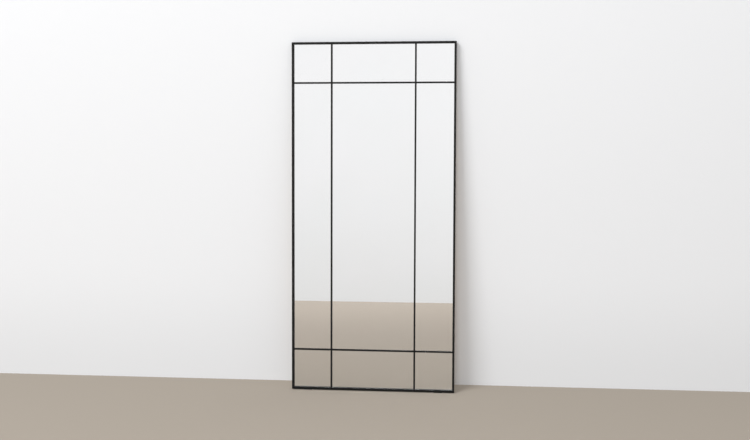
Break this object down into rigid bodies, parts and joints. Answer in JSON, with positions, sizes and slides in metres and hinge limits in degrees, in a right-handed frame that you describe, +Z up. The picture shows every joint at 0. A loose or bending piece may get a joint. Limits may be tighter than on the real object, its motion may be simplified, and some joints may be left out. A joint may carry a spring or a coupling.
{
  "type": "leaning floor mirror",
  "caption": "Tall rectangular floor mirror in a thin matt black metal frame with flat glazing bars that divide it like a window; it stands on the floor and leans on a wall.",
  "frame": {"origin": "on the floor, at the middle of the line straight below the frame's lower back edge", "axes": "+X across the mirror to the viewer's right, +Y towards the wall that it leans on, +Z up"},
  "size_m": [0.8, 0.1559, 1.699],
  "materials": {
    "frame_black": "matte",
    "bar_black": "matte",
    "mirror": "polished",
    "film": "satin",
    "packing": "matte",
    "fibreboard": "matte",
    "zinc": "satin",
    "rubber": "matte"
  },
  "bodies": {
    "mirror": {"stile_left": "frame_black", "stile_right": "frame_black", "rail_top": "frame_black", "rail_bottom": "frame_black", "glazing_bar_left": "bar_black", "glazing_bar_right": "bar_black", "glazing_bar_upper": "bar_black", "glazing_bar_lower": "bar_black", "mirror_glass": "mirror", "safety_film": "film", "packing_sheet": "packing", "back_board": "fibreboard", "setting_block_left": "rubber", "setting_block_right": "rubber", "turn_button_screw_left_lower": "zinc", "turn_button_screw_left_middle": "zinc", "turn_button_screw_left_upper": "zinc", "turn_button_screw_right_lower": "zinc", "turn_button_screw_right_middle": "zinc", "turn_button_screw_right_upper": "zinc", "turn_button_screw_top_left": "zinc", "turn_button_screw_top_right": "zinc", "turn_button_screw_bottom_left": "zinc", "turn_button_screw_bottom_right": "zinc", "hanger_plate_left": "zinc", "hanger_plate_right": "zinc", "hanger_screw_left_lower": "zinc", "hanger_screw_left_upper": "zinc", "hanger_screw_right_lower": "zinc", "hanger_screw_right_upper": "zinc", "foot_pad_left": "rubber", "foot_pad_right": "rubber", "wall_bumper_left": "rubber", "wall_bumper_right": "rubber"},
    "turn_button_left_lower": {"turn_button_left_lower": "zinc"},
    "turn_button_left_middle": {"turn_button_left_middle": "zinc"},
    "turn_button_left_upper": {"turn_button_left_upper": "zinc"},
    "turn_button_right_lower": {"turn_button_right_lower": "zinc"},
    "turn_button_right_middle": {"turn_button_right_middle": "zinc"},
    "turn_button_right_upper": {"turn_button_right_upper": "zinc"},
    "turn_button_top_left": {"turn_button_top_left": "zinc"},
    "turn_button_top_right": {"turn_button_top_right": "zinc"},
    "turn_button_bottom_left": {"turn_button_bottom_left": "zinc"},
    "turn_button_bottom_right": {"turn_button_bottom_right": "zinc"},
    "hanger_ring_left": {"hanger_ring_left": "zinc"},
    "hanger_ring_right": {"hanger_ring_right": "zinc"}
  },
  "joints": [
    {"name": "turn_button_left_lower_swivel", "type": "hinge", "parent": "mirror", "child": "turn_button_left_lower", "pos_m": [-0.39675, 0.02504, 0.33105], "axis": [0, 0.9972, -0.075], "continuous": true},
    {"name": "turn_button_left_middle_swivel", "type": "hinge", "parent": "mirror", "child": "turn_button_left_middle", "pos_m": [-0.39675, 0.06403, 0.84959], "axis": [0, 0.9972, -0.075], "continuous": true},
    {"name": "turn_button_left_upper_swivel", "type": "hinge", "parent": "mirror", "child": "turn_button_left_upper", "pos_m": [-0.39675, 0.10302, 1.36812], "axis": [0, 0.9972, -0.075], "continuous": true},
    {"name": "turn_button_right_lower_swivel", "type": "hinge", "parent": "mirror", "child": "turn_button_right_lower", "pos_m": [0.39675, 0.02504, 0.33105], "axis": [0, 0.9972, -0.075], "continuous": true},
    {"name": "turn_button_right_middle_swivel", "type": "hinge", "parent": "mirror", "child": "turn_button_right_middle", "pos_m": [0.39675, 0.06403, 0.84959], "axis": [0, 0.9972, -0.075], "continuous": true},
    {"name": "turn_button_right_upper_swivel", "type": "hinge", "parent": "mirror", "child": "turn_button_right_upper", "pos_m": [0.39675, 0.10302, 1.36812], "axis": [0, 0.9972, -0.075], "continuous": true},
    {"name": "turn_button_top_left_swivel", "type": "hinge", "parent": "mirror", "child": "turn_button_top_left", "pos_m": [-0.2, 0.12752, 1.69395], "axis": [0, 0.9972, -0.075], "continuous": true},
    {"name": "turn_button_top_right_swivel", "type": "hinge", "parent": "mirror", "child": "turn_button_top_right", "pos_m": [0.2, 0.12752, 1.69395], "axis": [0, 0.9972, -0.075], "continuous": true},
    {"name": "turn_button_bottom_left_swivel", "type": "hinge", "parent": "mirror", "child": "turn_button_bottom_left", "pos_m": [-0.2, 0.00054, 0.00522], "axis": [0, 0.9972, -0.075], "continuous": true},
    {"name": "turn_button_bottom_right_swivel", "type": "hinge", "parent": "mirror", "child": "turn_button_bottom_right", "pos_m": [0.2, 0.00054, 0.00522], "axis": [0, 0.9972, -0.075], "continuous": true},
    {"name": "hanger_ring_left_swing", "type": "hinge", "parent": "mirror", "child": "hanger_ring_left", "pos_m": [-0.382, 0.11306, 1.45762], "axis": [1, 0, 0], "range_deg": [-4, 175]},
    {"name": "hanger_ring_right_swing", "type": "hinge", "parent": "mirror", "child": "hanger_ring_right", "pos_m": [0.382, 0.11306, 1.45762], "axis": [1, 0, 0], "range_deg": [-4, 175]}
  ]
}
